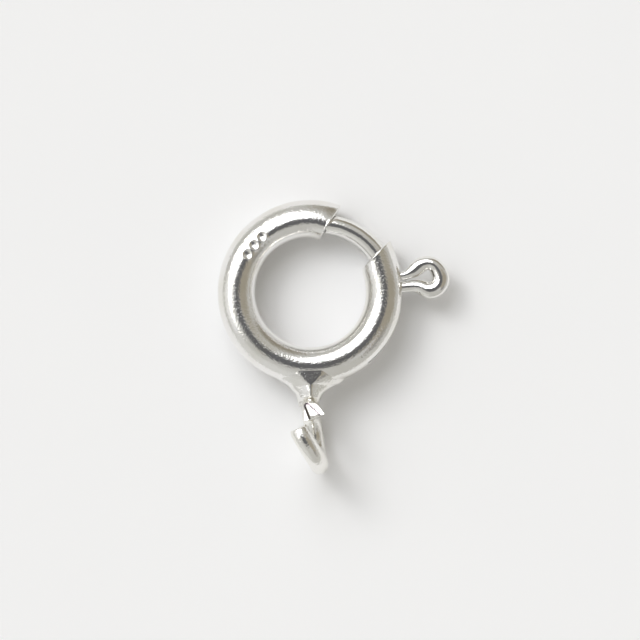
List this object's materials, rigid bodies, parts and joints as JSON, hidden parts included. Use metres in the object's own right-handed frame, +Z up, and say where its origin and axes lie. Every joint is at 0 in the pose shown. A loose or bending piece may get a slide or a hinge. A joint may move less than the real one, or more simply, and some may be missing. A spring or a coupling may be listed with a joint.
{
  "type": "spring ring clasp",
  "caption": "Ring-shaped jewellery clasp: a bent tube whose spring-loaded wire latch is drawn back by a looped trigger, with a soldered open loop that joins it to a chain.",
  "frame": {"origin": "centre of the ring's opening, on the tube's centreline plane", "axes": "+Z up from the surface that the clasp lies on, +Y from the end loop across the ring, +X towards the trigger; the ring's plane is raised about 5 degrees at the end loop's side"},
  "size_m": [0.0076, 0.0089, 0.0025],
  "materials": {
    "silver": "polished sterling silver with fine handling marks",
    "silver_wire": "polished sterling silver wire",
    "spring_steel": "drawn spring wire, slightly dull"
  },
  "bodies": {
    "ring": {"ring_tube": "silver", "spring": "spring_steel"},
    "latch": {"latch_wire": "silver_wire"}
  },
  "joints": [
    {"name": "trigger_pull", "type": "hinge", "parent": "ring", "child": "latch", "pos_m": [0, 0, 0], "axis": [0, -0.0892, -0.996], "range_deg": [0, 50], "stiffness_Nm_per_rad": 0.008, "deforming": ["spring"]}
  ]
}
